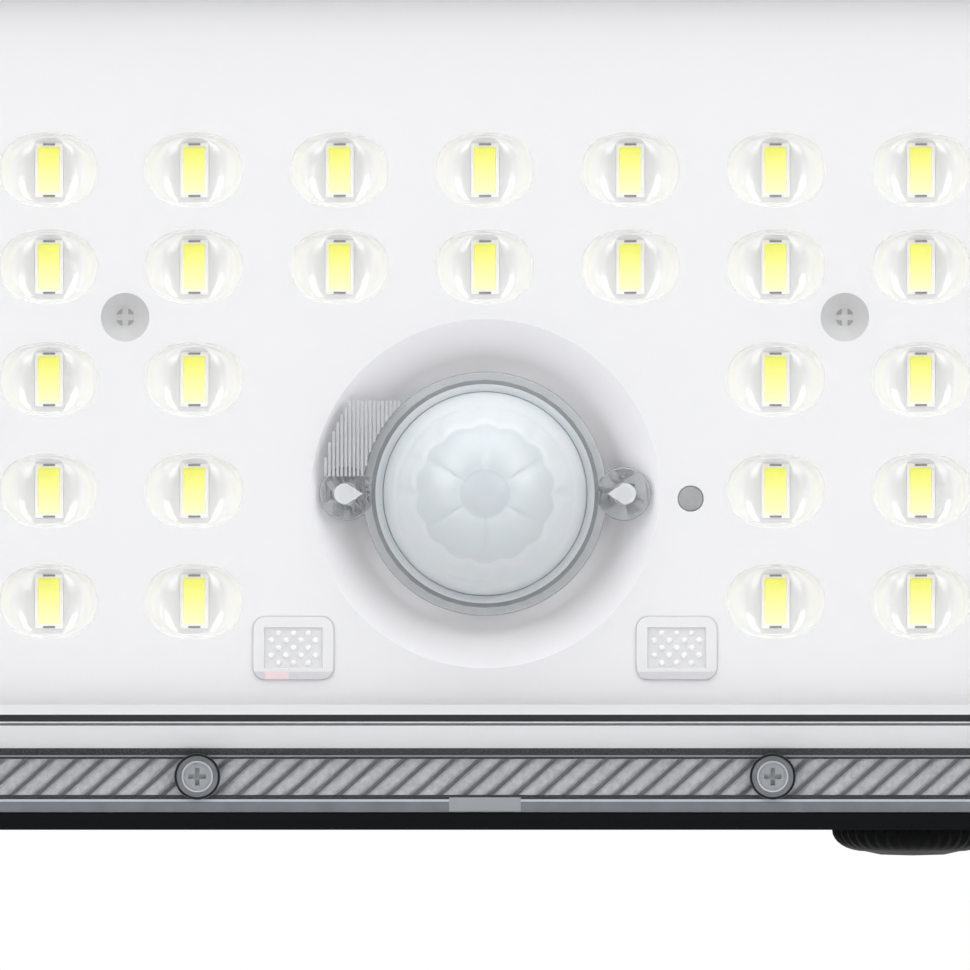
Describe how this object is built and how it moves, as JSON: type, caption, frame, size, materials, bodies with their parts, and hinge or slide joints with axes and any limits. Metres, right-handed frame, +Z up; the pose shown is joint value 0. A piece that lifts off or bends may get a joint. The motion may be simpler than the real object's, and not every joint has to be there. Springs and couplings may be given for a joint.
{
  "type": "solar flood light",
  "caption": "Wall-mounted solar flood light with a tilting lamp head, a motion sensor behind a clear cover, a mode knob and a hinged solar panel.",
  "frame": {"origin": "centre of the wall plate's back face, where the wall is", "axes": "+X to the right along the head, +Y back into the wall, +Z up; the lamp shines towards -Y"},
  "size_m": [0.2, 0.1111, 0.1469],
  "materials": {
    "black_plastic": "fine satin ABS",
    "knob_plastic": "satin ABS",
    "inner_plastic": "satin ABS",
    "clear_plastic": "clear polycarbonate",
    "smoky_plastic": "smoky clear polycarbonate",
    "lens_plastic": "milky HDPE",
    "white_gloss": "glossy white ABS",
    "diffuser": "dotted milky plastic",
    "white_board": "white solder mask or film",
    "green_board": "green solder mask",
    "led_body": "white package",
    "phosphor": "unlit yellow phosphor in silicone",
    "chip_black": "black epoxy",
    "capacitor_can": "sleeved can",
    "sensor_can": "plated can",
    "sensor_window": "grey clear epoxy",
    "cell_sleeve": "shrink sleeve over the can",
    "steel": "plated steel",
    "brass": "turned brass",
    "black_rubber": "matte",
    "grey_rubber": "matte",
    "silicon": "dark blue silicon",
    "panel_glass": "tempered glass"
  },
  "bodies": {
    "bracket": {"wall_bracket": "black_plastic", "friction_washers": "grey_rubber", "tilt_bolt": "steel", "clamp_washer": "steel"},
    "clamp_knob": {"clamp_knob": "black_plastic", "knob_insert": "brass"},
    "head": {"rear_housing": "black_plastic", "housing_bosses": "inner_plastic", "tilt_lug": "black_plastic", "hinge_ears": "black_plastic", "cover_gasket": "black_rubber", "lens_cover": "clear_plastic", "cover_screws": "steel", "reflector": "white_gloss", "reflector_screws": "steel", "led_board": "white_board", "led_packages": "led_body", "led_phosphor": "phosphor", "pir_lens": "lens_plastic", "pir_ring": "smoky_plastic", "pir_screws": "steel", "pir_sensor": "sensor_can", "light_sensor": "sensor_window", "status_window": "diffuser", "receiver_window": "diffuser", "status_led": "led_body", "ir_receiver": "chip_black", "controller_board": "green_board", "board_screws": "steel", "controller_chip": "chip_black", "inductor": "chip_black", "capacitors": "capacitor_can", "mode_switch": "chip_black", "shaft_seal": "black_rubber", "battery_tray": "inner_plastic", "battery_cells": "cell_sleeve", "cell_tabs": "steel", "battery_door": "black_plastic", "door_screws": "steel", "vent_plug": "grey_rubber", "panel_hinge_pins": "steel"},
    "mode_knob": {"mode_knob": "knob_plastic", "knob_shaft": "steel"},
    "panel": {"panel_frame": "black_plastic", "panel_knuckles": "black_plastic", "panel_backsheet": "white_board", "solar_cells": "silicon", "cell_ribbons": "steel", "panel_glass": "panel_glass", "junction_box": "inner_plastic", "junction_screws": "steel"}
  },
  "joints": [
    {"name": "head_tilt", "type": "hinge", "parent": "bracket", "child": "head", "pos_m": [0, -0.05, 0], "axis": [1, 0, 0], "range_deg": [-10, 45]},
    {"name": "panel_tilt", "type": "hinge", "parent": "head", "child": "panel", "pos_m": [0, -0.084, 0.0557], "axis": [1, 0, 0], "range_deg": [-25, 35]},
    {"name": "mode_dial", "type": "hinge", "parent": "head", "child": "mode_knob", "pos_m": [0.0444, -0.0764, -0.05], "axis": [0, 0, -1], "range_deg": [0, 90]},
    {"name": "clamp_knob_turn", "type": "hinge", "parent": "bracket", "child": "clamp_knob", "pos_m": [0.02, -0.05, 0], "axis": [1, 0, 0], "range_deg": [-360, 0]}
  ]
}
